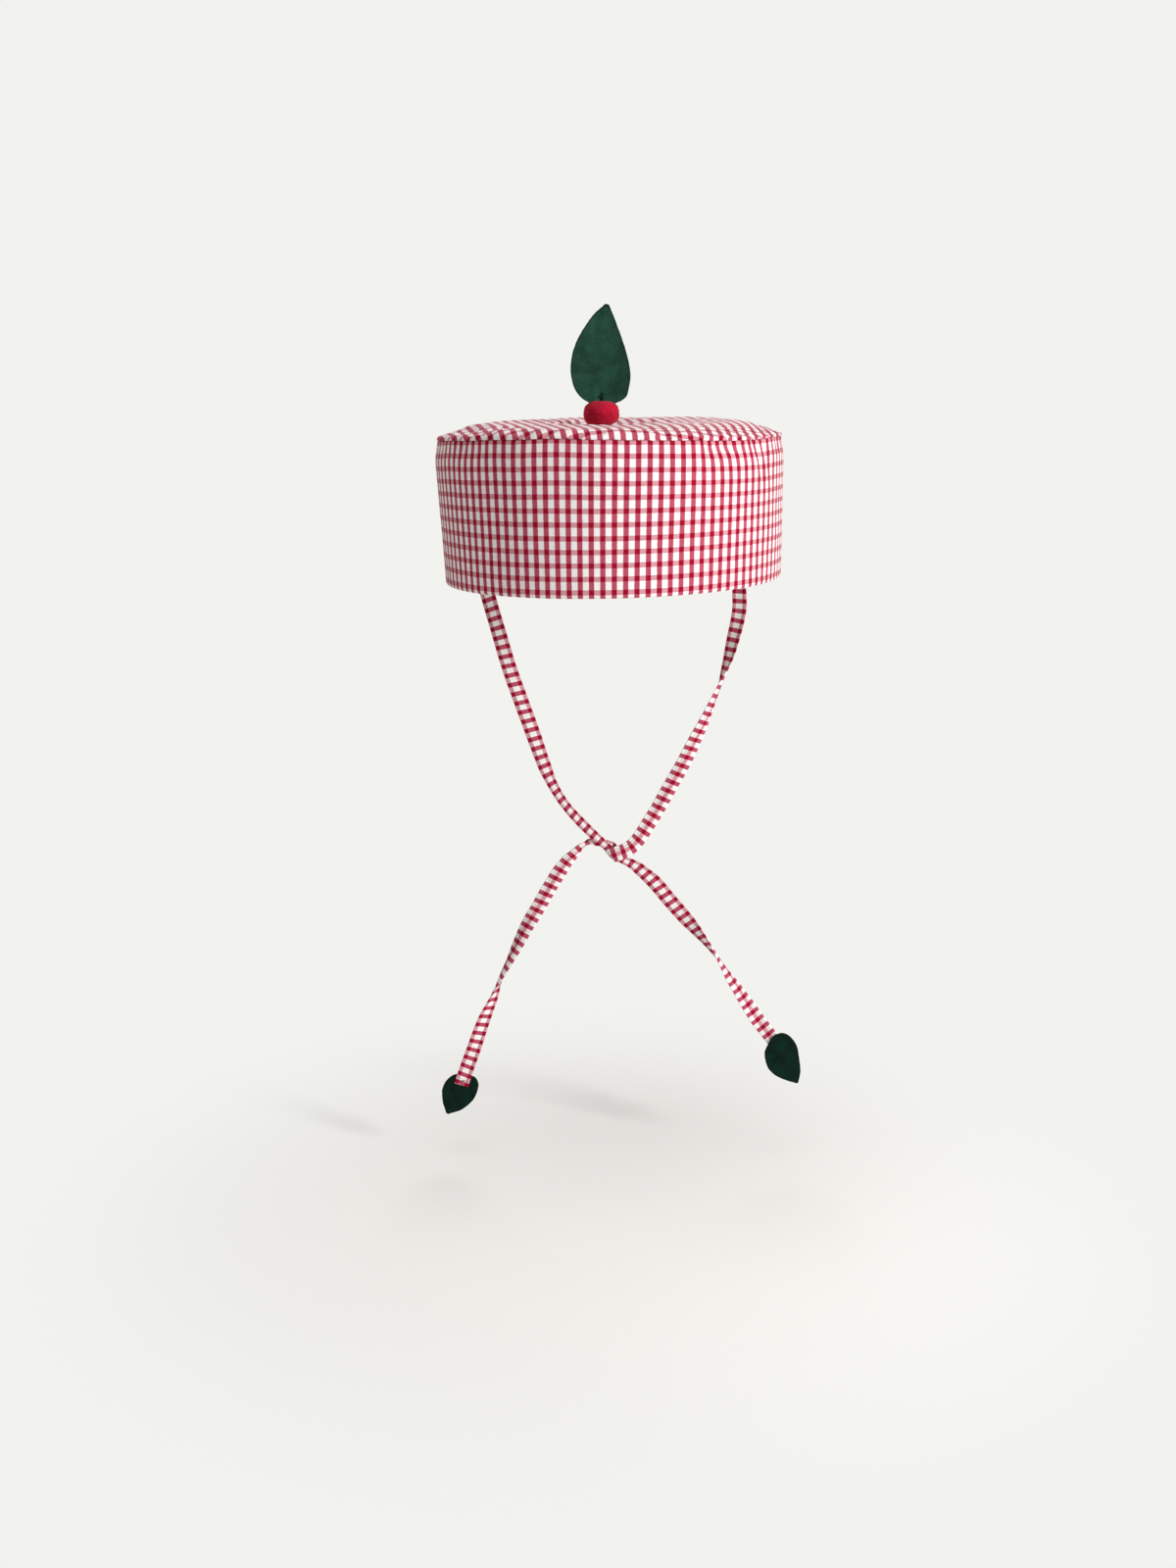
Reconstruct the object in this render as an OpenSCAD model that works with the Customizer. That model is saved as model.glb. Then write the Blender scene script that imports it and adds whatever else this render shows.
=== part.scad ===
// Pillbox hat in check cotton, with a felt ball and leaf on the crown and a knotted pair of fabric ties.
// Millimetres. The origin is the centre of the head opening at the rim, +Z is up through the crown,
// and the front of the hat faces -Y. The ties hang straight down from the rear half of the rim.

/* [Head opening] */
// Inner radius of the lining, where the head goes
head_r = 88.5; // [80:0.5:98]
// Depth of the lining, from the rim to the crown lining
head_depth = 73.5; // [60:0.5:78]

/* [Cloth layers] */
// Thickness of the check cotton with its fused backing
cloth_t = 0.6; // [0.4:0.1:1]
// Thickness of the lining
lining_t = 0.5; // [0.3:0.1:0.8]
// Thickness of the stiffener inside the band and the crown
stiffener_t = 1.2; // [0.8:0.1:2]

/* [Side band] */
// Height of the band, from the rim to the crown seam
band_h = 78; // [74:1:100]
// How much wider the band is at the crown seam than at the rim, on the radius
band_flare = 2.6; // [0:0.2:6]
// Height of the cotton that is turned up inside the rim
hem_h = 9; // [6:0.5:14]
// Width of the seam allowances that are turned in at the crown seam
seam_allowance = 8; // [5:0.5:12]

/* [Crown] */
// Rise of the padded crown above its seam
crown_rise = 4.8; // [3.5:0.1:8]
// Radius of the rounded shoulder of the crown
shoulder_r = 3; // [2:0.1:3.4]
// How far the ball's thread pulls the middle of the crown down
dimple_depth = 1.2; // [0.4:0.1:2]
// Radius of the flat middle of the crown that the ball and the leaf stand on
dimple_r = 17; // [15:0.5:24]

/* [Felt ball] */
// Radius of the ball, seen from above
ball_r = 9.5; // [7:0.5:12]
// Height of the ball, which is pulled a little flat by its thread
ball_h = 13.2; // [9:0.2:18]
// Place of the ball and the leaf along X, from the middle of the crown
ornament_x = -5; // [-6:0.5:6]

/* [Felt leaf] */
// Thickness of the felt of the standing leaf
leaf_t = 1.3; // [1:0.1:2]
// Scale of the standing leaf's outline, 1 being 32 mm wide and 63 mm high
leaf_size = 1; // [0.8:0.05:1.2]

/* [Ties] */
// Width of a tie where it lies flat
tie_w = 8.8; // [7:0.2:10]
// Thickness of a tie, four layers of cotton pressed flat
tie_t = 1.2; // [0.8:0.1:1.4]
// Length of the bar tack that holds a tie in the rim
tack_l = 5; // [4:0.5:7]
// Thickness of the felt of the small leaves on the tie ends
tip_t = 1.2; // [0.8:0.1:1.6]
// Scale of the small leaves' outlines
tip_size = 1; // [0.9:0.05:1.1]

/* [Thread and clearance] */
// Thickness of the sewing thread
thread_t = 0.4; // [0.3:0.05:0.5]
// Radius of the doubled thread that ties the ball down
ball_thread_r = 0.5; // [0.4:0.1:0.8]
// Gap between a piece and what it rests against
seat_gap = 0.3; // [0.2:0.05:0.5]

/* [Hidden] */
$fn = 96;

// Cloth layers at the rim, from the head outwards
hem_r = head_r + lining_t;
hem_outer_r = hem_r + cloth_t;
rim_inner_r = hem_outer_r + stiffener_t;
rim_r = rim_inner_r + cloth_t;

// Crown seam
seam_r = rim_r + band_flare;
seam_inner_r = seam_r - cloth_t;
allowance_r = seam_r - seam_allowance;
band_top_inner_z = band_h - cloth_t;
crown_stiffener_z = band_top_inner_z - stiffener_t;
seam_stitch_r = seam_r - 1.6;

// Play between a stiffener and the cotton round it, and between the ball's thread and its hole
ease = 0.05;

// Crown heights
crown_z = band_h + crown_rise;
dimple_z = crown_z - dimple_depth;
shoulder_z = crown_z - 0.8;
shoulder_centre = [seam_r - shoulder_r + 0.4, shoulder_z - shoulder_r];
dimple_slope = 14;

// Standing leaf, behind the ball
leaf_front_y = ball_r + seat_gap;
leaf_base_z = dimple_z + 2 * seat_gap;

// The plane in which the ties hang, and where they are sewn
tie_plane_y = 53.5;
tie_root_x = 73.2;
tack_h = 4;

// Routes of the ties, from the rim to the free end: x, y from the plane of the ties, z, share of the
// full width, and how far the strip is turned over, in degrees. A sixth entry gives the strip's width
// direction where the tie passes round the other one.
left_route = [
    [-tie_root_x, 0, -0.6, 0.2, 0],
    [-73.1, 0, -2.5, 0.5, 0],
    [-72.3, 0, -9, 0.9, 0],
    [-70, 0, -18, 1, 0],
    [-65, 0, -36, 1, 0],
    [-58.8, 0, -58, 1, 0],
    [-52, 0, -78, 1, 0],
    [-45.3, 0, -97, 1, 0],
    [-38.5, 0, -117, 0.9, 0],
    [-34, 0, -128, 0.68, 0],
    [-29, 0, -137, 0.56, 0],
    [-24, 0, -144, 0.6, 0],
    [-18.3, 0, -150.5, 0.64, 0],
    [-12.5, 0, -156.6, 0.62, 0],
    [-6.7, 0, -162.2, 0.56, 0],
    [-1, 0, -167.6, 0.52, 0],
    [4.5, 0, -172, 0.5, 0],
    [9.5, 0, -175, 0.54, 0],
    [14, 0, -177.5, 0.62, 0],
    [19, 0, -181.5, 0.76, 0],
    [28, 0, -190, 1, 0],
    [37, 0, -201, 1, 0],
    [46, 0, -211.5, 1, 12],
    [53, 0, -219.5, 1, 36],
    [60, 0, -228, 1, 61],
    [67, 0, -238.5, 1, 88],
    [74, 0, -249.5, 1, 115],
    [81.6, 0, -261.5, 1, 138],
    [89.7, 0, -274.5, 1, 164],
    [95, 0, -281.8, 1, 180],
    [102, 0, -291, 1, 180],
];
right_route = [
    [tie_root_x, 0, -0.6, 0.2, 0],
    [73.3, 0, -2.5, 0.5, 0],
    [74, 0, -9, 0.9, 0],
    [75.2, 0, -18, 1, 0],
    [74.9, 0, -28, 1, 0],
    [71.3, 0, -46, 1, 20],
    [69.2, 0, -55.5, 1, 48],
    [66.5, 0, -64, 1, 75],
    [63.7, 0, -72, 1, 100],
    [57.6, 0, -87.5, 1, 132],
    [50.9, 0, -101.5, 1, 155],
    [44.2, 0, -115.5, 1, 172],
    [36.6, 0, -129.5, 1, 180],
    [28, 0, -145.5, 1, 180],
    [22, -0.4, -155, 0.92, 180],
    [17, -1, -162, 0.84, 180],
    [13, -1.6, -166.4, 0.76, 180],
    [9.5, -1.9, -169.5, 0.66, 180],
    [4.5, -2.1, -172, 0.5, 180],
    [2, -1.9, -173.7, 0.45, 180],
    [0.8, 0, -174.3, 0.45, 180, [-0.8, 0, 0.6]],
    [1, 1.9, -173, 0.45, 0],
    [2.1, 2.1, -170.2, 0.45, 0],
    [3.5, 2.2, -168, 0.45, 0],
    [2.3, 2.2, -164.6, 0.45, 0],
    [-1.5, 2.1, -163.8, 0.45, 0],
    [-5, 2, -164.8, 0.45, 0],
    [-9, 1.6, -165.2, 0.5, 0],
    [-12.5, 0.8, -164.9, 0.55, 0],
    [-16, 0.3, -167, 0.6, 0],
    [-20, 0, -171, 0.7, 0],
    [-25, 0, -176.2, 0.85, 0],
    [-30, 0, -183.3, 1, 0],
    [-37.2, 0, -195.5, 1, 0],
    [-43, 0, -206, 1, 5],
    [-49.1, 0, -216.3, 1, 25],
    [-55.6, 0, -229, 1, 50],
    [-60, 0, -237.6, 1, 66],
    [-65.4, 0, -249, 1, 90],
    [-70.5, 0, -262.5, 1, 127],
    [-76.5, 0, -277.6, 1, 155],
    [-82, 0, -294, 1, 172],
    [-87.6, 0, -310, 1, 180],
    [-90.5, 0, -319, 1, 180],
];

// Outline of the standing leaf, from the middle of its base
leaf_outline = [
    [0, 0], [-3.6, 0.7], [-5.5, 8], [-9.5, 13.3], [-15, 20.5], [-16.5, 29], [-15.4, 38], [-11.4, 46.5],
    [-3, 58.6], [3.2, 63.2], [5.6, 60], [10, 48.5], [12.6, 40.5], [15, 32.5], [16, 25], [14.4, 17.5],
    [10.4, 12.8], [5, 8], [3.6, 0.7],
];
// Outlines of the small leaves, from the middle of the tie's end
left_tip_outline = [
    [2, 4.6], [-3.4, 6.5], [-8.5, 3.2], [-11.5, -2], [-12, -6.5], [-11.4, -13], [-9, -19.6],
    [-0.6, -17], [5.5, -12], [8.6, -7.5], [10.5, -1], [9.7, 2.8], [7.2, 5.3],
];
right_tip_outline = [
    [3.8, 6.7], [0.5, 5.6], [-2.5, 3], [-4.3, -0.4], [-6.4, -5.7], [-5.7, -11.8], [-3.4, -17],
    [1.7, -21.4], [9.6, -24.6], [14.1, -25.8], [15.2, -22], [15.6, -16.3], [14.4, -7.3],
    [13.5, -2.9], [11.3, 1.6], [7.5, 5.4],
];

// A smooth closed curve through a few points
curve_steps = 4;
function wrap(points, i) = points[(i + len(points)) % len(points)];
function curve_point(a, b, c, d, t) =
    0.5 * (2 * b + (c - a) * t + (2 * a - 5 * b + 4 * c - d) * t * t + (3 * b - a - 3 * c + d) * t * t * t);
function smooth_outline(points) = [
    for (i = [0 : len(points) - 1], s = [0 : curve_steps - 1])
        curve_point(
            wrap(points, i - 1), wrap(points, i), wrap(points, i + 1), wrap(points, i + 2), s / curve_steps
        )
];

// The crown's profile, from its middle out to the seam, drawn in by inset
function crown_line(inset) = concat(
    [
        [0, dimple_z - inset],
        [dimple_r, dimple_z - inset],
        [dimple_r + dimple_slope, crown_z - inset],
        [seam_r * 0.62, crown_z - inset],
    ],
    [
        for (a = [80 : -10 : 0])
            shoulder_centre + (shoulder_r - inset) * [cos(a), sin(a)]
    ]
);

// Frame of a strip at a point of its route
function unit(v) = v / norm(v);
function place(p) = [p[0], tie_plane_y + p[1], p[2]];
function heading(route, i) =
    unit(place(route[min(i + 1, len(route) - 1)]) - place(route[max(i - 1, 0)]));
function across(route, i) = let (t = heading(route, i), p = route[i])
    len(p) > 5
    ? unit(p[5] - (p[5] * t) * t)
    : let (flat = unit(cross(t, [0, 1, 0])), face = cross(t, flat)) flat * cos(p[4]) + face * sin(p[4]);

// A flat strip swept along a route, eight-sided and soft at its edges. Its two faces are split along
// the same diagonals, so that they stay parallel where the strip twists.
module strip(route) {
    edge = 0.3 * tie_t;
    sides = 8;
    rings = [
        for (i = [0 : len(route) - 1])
            let (
                t = heading(route, i), u = across(route, i), v = cross(t, u),
                half_w = route[i][3] * tie_w / 2, half_t = tie_t / 2,
                soft = [
                    [half_w, half_t - edge], [half_w - edge, half_t], [edge - half_w, half_t],
                    [-half_w, half_t - edge], [-half_w, edge - half_t], [edge - half_w, -half_t],
                    [half_w - edge, -half_t], [half_w, edge - half_t],
                ]
            )
            for (s = soft) place(route[i]) + s[0] * u + s[1] * v
    ];
    last = (len(route) - 1) * sides;
    walls = [
        for (i = [0 : len(route) - 2], k = [0 : sides - 1])
            let (a = i * sides + k, b = i * sides + (k + 1) % sides)
            for (f = k < sides / 2
                ? [[a, b + sides, b], [a, a + sides, b + sides]]
                : [[a, a + sides, b], [b, a + sides, b + sides]]) f
    ];
    caps = [
        [for (k = [0 : sides - 1]) k],
        [for (k = [sides - 1 : -1 : 0]) last + k],
    ];
    polyhedron(points = rings, faces = concat(walls, caps), convexity = 10);
}

// A felt shape that stands in the XZ plane, its front face at y
module felt_piece(outline, size, thickness, y) {
    translate([0, y + thickness, 0])
        rotate([90, 0, 0])
            linear_extrude(thickness)
                scale(size)
                    polygon(smooth_outline(outline));
}

// A bar of thread that lies along X, its middle at the origin
module thread_bar(length) {
    translate([-length / 2, 0, -thread_t / 2])
        cube([length, thread_t, thread_t]);
}

// The pocket in the hem where a tie is tacked
tack_angle = atan2(tie_plane_y, tie_root_x);
module tack_shape(side) {
    intersection() {
        difference() {
            cylinder(h = tack_h, r = hem_outer_r);
            translate([0, 0, -1])
                cylinder(h = tack_h + 2, r = hem_r);
        }
        rotate([0, 0, side > 0 ? tack_angle : 180 - tack_angle])
            translate([0, -tack_l / 2, 0])
                cube([hem_outer_r + 5, tack_l, tack_h]);
    }
}

module side_band() {
    color("crimson")
        difference() {
            rotate_extrude()
                polygon([
                    [rim_r, 0], [seam_r, band_h], [allowance_r, band_h], [allowance_r, band_top_inner_z],
                    [seam_inner_r, band_top_inner_z], [rim_inner_r, cloth_t], [hem_outer_r, cloth_t],
                    [hem_outer_r, hem_h], [hem_r, hem_h], [hem_r, 0],
                ]);
            crown_stitch_ring();
            rim_stitch_ring();
            tack_shape(1);
            tack_shape(-1);
        }
}

// Radius of the cotton's inner face at the height where the band's stiffener ends
stiffener_face_r = rim_inner_r
    + band_flare * (crown_stiffener_z - cloth_t) / (band_top_inner_z - cloth_t);
module band_stiffener() {
    color("ivory")
        rotate_extrude()
            polygon([
                [rim_inner_r - ease, cloth_t],
                [stiffener_face_r - ease, crown_stiffener_z],
                [stiffener_face_r - stiffener_t, crown_stiffener_z],
                [hem_outer_r, cloth_t],
            ]);
}

module band_lining() {
    color("white")
        difference() {
            cylinder(h = head_depth, r = hem_r);
            translate([0, 0, -1])
                cylinder(h = head_depth + 2, r = head_r);
        }
}

module crown_lining() {
    color("whitesmoke")
        translate([0, 0, head_depth])
            cylinder(h = lining_t, r = hem_r);
}

module crown_stiffener() {
    color("ivory")
        difference() {
            translate([0, 0, crown_stiffener_z])
                cylinder(h = stiffener_t, r = stiffener_face_r - ease);
            ball_thread_hole();
        }
}

module crown_wadding() {
    color("gainsboro")
        difference() {
            rotate_extrude()
                polygon(concat(
                    crown_line(cloth_t),
                    [
                        [seam_inner_r, band_h + cloth_t],
                        [allowance_r, band_h + cloth_t],
                        [allowance_r, band_top_inner_z],
                        [0, band_top_inner_z],
                    ]
                ));
            ball_thread_hole();
        }
}

module crown_top() {
    outer = crown_line(0);
    inner = crown_line(cloth_t);
    color("crimson")
        difference() {
            rotate_extrude()
                polygon(concat(
                    outer,
                    [
                        [seam_r, band_h],
                        [allowance_r, band_h],
                        [allowance_r, band_h + cloth_t],
                        [seam_inner_r, band_h + cloth_t],
                    ],
                    [for (i = [len(inner) - 1 : -1 : 0]) inner[i]]
                ));
            ball_thread_hole();
        }
}

// The thread of the crown seam, laid in the band's seam allowance
module crown_stitch_ring() {
    rotate_extrude()
        translate([seam_stitch_r, band_h - thread_t])
            square(thread_t);
}

// The thread that joins the lining to the hem
module rim_stitch_ring() {
    rotate_extrude()
        translate([hem_r, tack_h + 1.5])
            square(thread_t);
}

module crown_seam_stitches() {
    color("mistyrose") crown_stitch_ring();
}

module rim_seam_stitches() {
    color("mistyrose") rim_stitch_ring();
}

// The ball's profile: a rounded shape with a flat seat, a little wider than it is high
ball_seat_r = 0.55 * ball_r;
ball_base_z = dimple_z + seat_gap;
module felt_ball() {
    half_h = ball_h / 2;
    start = asin(ball_seat_r / ball_r);
    color("crimson")
        difference() {
            translate([ornament_x, 0, ball_base_z])
                rotate_extrude()
                    polygon(concat(
                        [[0, 0]],
                        [
                            for (i = [0 : 18])
                                let (a = start - 90 + i * (180 - start) / 18, k = 1 / (1 + cos(start)))
                                [ball_r * cos(a), ball_h * k * (sin(a) + cos(start))]
                        ]
                    ));
            translate([ornament_x, 0, ball_base_z - 1])
                cylinder(h = 1 + half_h, r = ball_thread_r);
        }
}

// The doubled thread from inside the ball, down through the crown, to its knot under the stiffener
knot_r = 1.6;
knot_h = 1.4;
module ball_thread_hole() {
    translate([ornament_x, 0, crown_stiffener_z - knot_h])
        cylinder(h = crown_z - crown_stiffener_z + 2 * knot_h, r = ball_thread_r + ease);
}

module ball_thread() {
    color("darkred")
        union() {
            translate([ornament_x, 0, crown_stiffener_z - knot_h])
                cylinder(h = ball_base_z + ball_h / 2 - crown_stiffener_z + knot_h, r = ball_thread_r);
            translate([ornament_x, 0, crown_stiffener_z - knot_h])
                cylinder(h = knot_h, r1 = 0.7 * knot_r, r2 = knot_r);
        }
}

module felt_leaf() {
    color("darkgreen")
        translate([ornament_x, 0, leaf_base_z])
            felt_piece(leaf_outline, leaf_size, leaf_t, leaf_front_y);
}

// The stitch that gathers the leaf's base, above the ball
module leaf_stitch() {
    color("black")
        translate([ornament_x - 0.8, leaf_front_y - thread_t, ball_base_z + ball_h + 3])
            thread_bar(3);
}

module tie_tack_left() {
    color("mistyrose") tack_shape(-1);
}

module tie_tack_right() {
    color("mistyrose") tack_shape(1);
}

module tie_left() {
    color("salmon") strip(left_route);
}

module tie_right() {
    color("lightcoral") strip(right_route);
}

// The small leaf behind the end of the right tie, which hangs at the left
function route_end(route) = place(route[len(route) - 1]);
tip_seat = tie_t / 2 + seat_gap;
module tip_leaf_left() {
    end = route_end(right_route);
    color("darkslategray")
        translate([end[0], 0, end[2]])
            felt_piece(left_tip_outline, tip_size, tip_t, end[1] + tip_seat);
}

// The small leaf in front of the end of the left tie, which hangs at the right
module tip_leaf_right() {
    end = route_end(left_route);
    color("darkslategray")
        translate([end[0], 0, end[2]])
            felt_piece(right_tip_outline, tip_size, tip_t, end[1] - tip_seat - tip_t);
}

module tip_stitch_left() {
    end = route_end(right_route);
    color("black")
        translate([end[0] + 0.6, end[1] - tie_t / 2 - thread_t, end[2] + 3])
            thread_bar(4);
}

module tip_stitch_right() {
    end = route_end(left_route);
    color("black")
        translate([end[0] + 1.5, end[1] - tip_seat - tip_t - thread_t, end[2] + 2.5])
            thread_bar(4);
}

side_band();
band_stiffener();
band_lining();
crown_top();
crown_wadding();
crown_stiffener();
crown_lining();
crown_seam_stitches();
rim_seam_stitches();
felt_ball();
ball_thread();
felt_leaf();
leaf_stitch();
tie_tack_left();
tie_tack_right();
tie_left();
tie_right();
tip_leaf_left();
tip_leaf_right();
tip_stitch_left();
tip_stitch_right();
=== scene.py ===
import math

import bmesh
import bpy
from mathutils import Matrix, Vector, noise


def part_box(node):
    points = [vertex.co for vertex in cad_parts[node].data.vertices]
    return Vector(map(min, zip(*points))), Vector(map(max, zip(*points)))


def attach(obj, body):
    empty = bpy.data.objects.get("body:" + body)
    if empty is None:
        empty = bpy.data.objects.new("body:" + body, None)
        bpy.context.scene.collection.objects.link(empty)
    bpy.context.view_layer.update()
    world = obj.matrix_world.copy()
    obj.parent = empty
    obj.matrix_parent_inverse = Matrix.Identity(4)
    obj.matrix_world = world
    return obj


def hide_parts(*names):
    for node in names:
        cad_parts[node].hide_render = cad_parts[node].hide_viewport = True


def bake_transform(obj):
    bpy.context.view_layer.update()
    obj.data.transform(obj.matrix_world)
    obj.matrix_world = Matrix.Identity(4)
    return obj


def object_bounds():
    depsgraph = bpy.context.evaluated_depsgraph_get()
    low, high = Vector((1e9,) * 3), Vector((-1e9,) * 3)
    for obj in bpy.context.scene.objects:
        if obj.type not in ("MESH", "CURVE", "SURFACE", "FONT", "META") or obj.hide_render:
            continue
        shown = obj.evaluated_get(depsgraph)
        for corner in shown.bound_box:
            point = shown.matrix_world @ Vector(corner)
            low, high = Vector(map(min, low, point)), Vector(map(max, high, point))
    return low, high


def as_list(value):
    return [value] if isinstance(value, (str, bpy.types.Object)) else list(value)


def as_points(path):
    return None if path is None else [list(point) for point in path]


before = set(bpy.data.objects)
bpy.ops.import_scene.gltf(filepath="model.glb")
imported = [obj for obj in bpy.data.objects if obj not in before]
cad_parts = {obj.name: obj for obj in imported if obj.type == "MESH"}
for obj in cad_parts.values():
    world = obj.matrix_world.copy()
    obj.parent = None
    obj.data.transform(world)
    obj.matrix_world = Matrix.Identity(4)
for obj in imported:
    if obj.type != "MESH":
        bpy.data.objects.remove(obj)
cad_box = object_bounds()
scene = bpy.context.scene
MM = 0.001

# Camera, floor and studio light
# The hat hangs in front of a pale, plain surround. A soft lamp stands to the right, a larger one hangs
# above and one stands behind, so that the band is bright on the right and shaded on the left.


def ink(code):
    """A colour written as #rrggbb, for a shader."""
    parts = [int(code[i : i + 2], 16) / 255 for i in (1, 3, 5)]
    return tuple(c / 12.92 if c <= 0.04045 else ((c + 0.055) / 1.055) ** 2.4 for c in parts) + (1.0,)


def place(tree, kind, values=None, **settings):
    """Adds one shader node with its settings, and feeds its sockets by name or number."""
    made = tree.nodes.new("ShaderNode" + kind)
    for setting, value in settings.items():
        setattr(made, setting, value)
    for socket, value in (values or {}).items():
        if isinstance(value, bpy.types.NodeSocket):
            tree.links.new(value, made.inputs[socket])
        else:
            made.inputs[socket].default_value = value
    return made


def reckon(tree, operation, *values):
    """One step of arithmetic between values in a shader."""
    return place(tree, "Math", dict(enumerate(values)), operation=operation).outputs[0]


def share_between(tree, value, low, high, rise="SMOOTHSTEP"):
    """How far a value in a shader has come from low to high, from 0 to 1."""
    ends = {"Value": value, "From Min": low, "From Max": high}
    return place(tree, "MapRange", ends, interpolation_type=rise).outputs[0]


def seen_straight(tree):
    """1 for a ray that shows a surface to the viewer, straight on, by a reflection or through glass."""
    rays = place(tree, "LightPath")
    carried = reckon(
        tree, "MAXIMUM", rays.outputs["Is Glossy Ray"], rays.outputs["Is Transmission Ray"]
    )
    return reckon(tree, "MAXIMUM", rays.outputs["Is Camera Ray"], carried)


def new_paint(name, roughness, specular):
    """A new material, with its tree and its shader."""
    material = bpy.data.materials.new(name)
    material.use_nodes = True
    shader = material.node_tree.nodes["Principled BSDF"]
    shader.inputs["Roughness"].default_value = roughness
    shader.inputs["Specular IOR Level"].default_value = specular
    return material, material.node_tree, shader


def new_object(name, data):
    """A new object in the scene, at the origin."""
    made = bpy.data.objects.new(name, data)
    scene.collection.objects.link(made)
    return made


def made_of(bm, name, material):
    """Turns a built-up mesh into an object of one material."""
    mesh = bpy.data.meshes.new(name)
    bm.to_mesh(mesh)
    bm.free()
    mesh.materials.append(material)
    return new_object(name, mesh)


eye = new_object("camera", bpy.data.cameras.new("camera"))
eye.location = (-0.0125, -1.014, 0.120)
eye.rotation_euler = (math.radians(76.88), 0, 0)
eye.data.lens = 42.5
scene.camera = eye

surround = ink("#F2F2EF")
world = bpy.data.worlds.new("surround")
world.use_nodes = True
scene.world = world
tree = world.node_tree
tree.nodes.clear()
air = place(tree, "Background", {"Color": (1.0, 0.97, 0.94, 1.0), "Strength": 0.37})
backdrop = place(tree, "Background", {"Color": surround, "Strength": 1.0})
either = place(tree, "MixShader", {0: seen_straight(tree), 1: air.outputs[0], 2: backdrop.outputs[0]})
place(tree, "OutputWorld", {"Surface": either.outputs[0]})

floor_drop = 0.03
floor_size = 6.0
shadow_start = 0.12
shadow_reach = 0.35
floor_paint, tree, paint = new_paint("pale floor", 0.9, 0.1)
paint.inputs["Base Color"].default_value = ink("#EDEDEA")
bm = bmesh.new()
bmesh.ops.create_grid(bm, x_segments=2, y_segments=2, size=floor_size)
bmesh.ops.translate(bm, verts=bm.verts, vec=(0, 0, cad_box[0].z - floor_drop))
floor = made_of(bm, "floor", floor_paint)
spot = place(tree, "TexCoord").outputs["Object"]
level = place(tree, "VectorMath", {0: spot, 1: (1, 1, 0)}, operation="MULTIPLY").outputs[0]
away = place(tree, "VectorMath", {0: level}, operation="LENGTH").outputs["Value"]
far = share_between(tree, away, shadow_start, shadow_reach)
glow = place(tree, "Emission", {"Color": surround, "Strength": 1.0})
plain = reckon(tree, "MULTIPLY", far, seen_straight(tree))
fading = place(tree, "MixShader", {0: plain, 1: paint.outputs[0], 2: glow.outputs[0]})
tree.links.new(fading.outputs[0], tree.nodes["Material Output"].inputs["Surface"])

for lamp_name, spot, width, power in (
    ("key lamp", (1.34, -0.95, 0.42), 0.4, 24.0),
    ("high lamp", (-0.1, -0.45, 1.6), 1.1, 8.0),
    ("rear lamp", (0.1, 1.3, 0.8), 1.2, 9.0),
):
    lamp = new_object(lamp_name, bpy.data.lights.new(lamp_name, "AREA"))
    lamp.data.shape = "DISK"
    lamp.data.size = width
    lamp.data.energy = power
    lamp.location = spot
    lamp.rotation_euler = (Vector((0, 0, -0.02)) - Vector(spot)).to_track_quat("-Z", "Y").to_euler()

# Side band
# A straight strip of woven red and white check cotton with a fused backing, joined at the middle of the
# back. It is turned up inside the rim as a hem and turned in at the top, where the crown is sewn to it.
rim_radius = 91.4
seam_radius = 94.0
band_height = 78.0
hem_radius = 89.0
hem_height = 9.0
fold_radius = (rim_radius - hem_radius) / 2
seam_corner = 0.45
cloth_thickness = 0.6
allowance_radius = 86.0
around = 640
hem_to_wall = hem_height - fold_radius + math.pi * fold_radius
wall_top = band_height - seam_corner
warp_spacing = 5.75
weft_spacing = 6.72
check_relief = 0.00012
band_stripe_radius = 92.0


def blend_tones(tree, share, under, over):
    """One colour laid over another by a share."""
    sockets = {0: share, 6: under, 7: over}
    return place(tree, "Mix", sockets, data_type="RGBA").outputs[2]


def stripes(tree, across, spacing, half_width):
    """Stripes of dyed yarn, 1 inside a stripe, with the first one's middle at 0 millimetres."""
    soft = 0.13
    phase = reckon(tree, "PINGPONG", reckon(tree, "DIVIDE", across, spacing), 0.5)
    return share_between(
        tree, phase, (half_width + soft) / spacing, (half_width - soft) / spacing
    )


def over_and_under(tree, place_on, spacing):
    """The rise and fall of plain woven yarns at a spacing in millimetres, from -1 to 1."""
    pitch = 2 * math.pi / spacing
    return reckon(
        tree, "MULTIPLY",
        reckon(tree, "SINE", reckon(tree, "MULTIPLY", place_on.outputs[0], pitch)),
        reckon(tree, "SINE", reckon(tree, "MULTIPLY", place_on.outputs[1], pitch)),
    )


# The woven check, from a place on the cloth in millimetres across its warp and weft stripes
check = bpy.data.node_groups.new("woven check", "ShaderNodeTree")
check.interface.new_socket("Place", in_out="INPUT", socket_type="NodeSocketVector")
check.interface.new_socket("Colour", in_out="OUTPUT", socket_type="NodeSocketColor")
check.interface.new_socket("Height", in_out="OUTPUT", socket_type="NodeSocketFloat")
given = check.nodes.new("NodeGroupInput")
on_cloth = place(check, "SeparateXYZ", {0: given.outputs[0]})
wander = place(check, "TexNoise", {"Vector": given.outputs[0], "Scale": 1.4, "Detail": 2.0})
drift = place(check, "SeparateColor", {0: wander.outputs["Color"]})
warp_at, weft_at = (
    reckon(
        check, "MULTIPLY_ADD", reckon(check, "SUBTRACT", drift.outputs[way], 0.5), 0.5,
        on_cloth.outputs[way],
    )
    for way in (0, 1)
)
warp_stripe = stripes(check, warp_at, warp_spacing, 1.36)
weft_stripe = stripes(check, weft_at, weft_spacing, 1.3)
yarns = over_and_under(check, on_cloth, 0.42)
yarn_top = reckon(check, "MULTIPLY_ADD", yarns, 0.5, 0.5)
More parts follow.
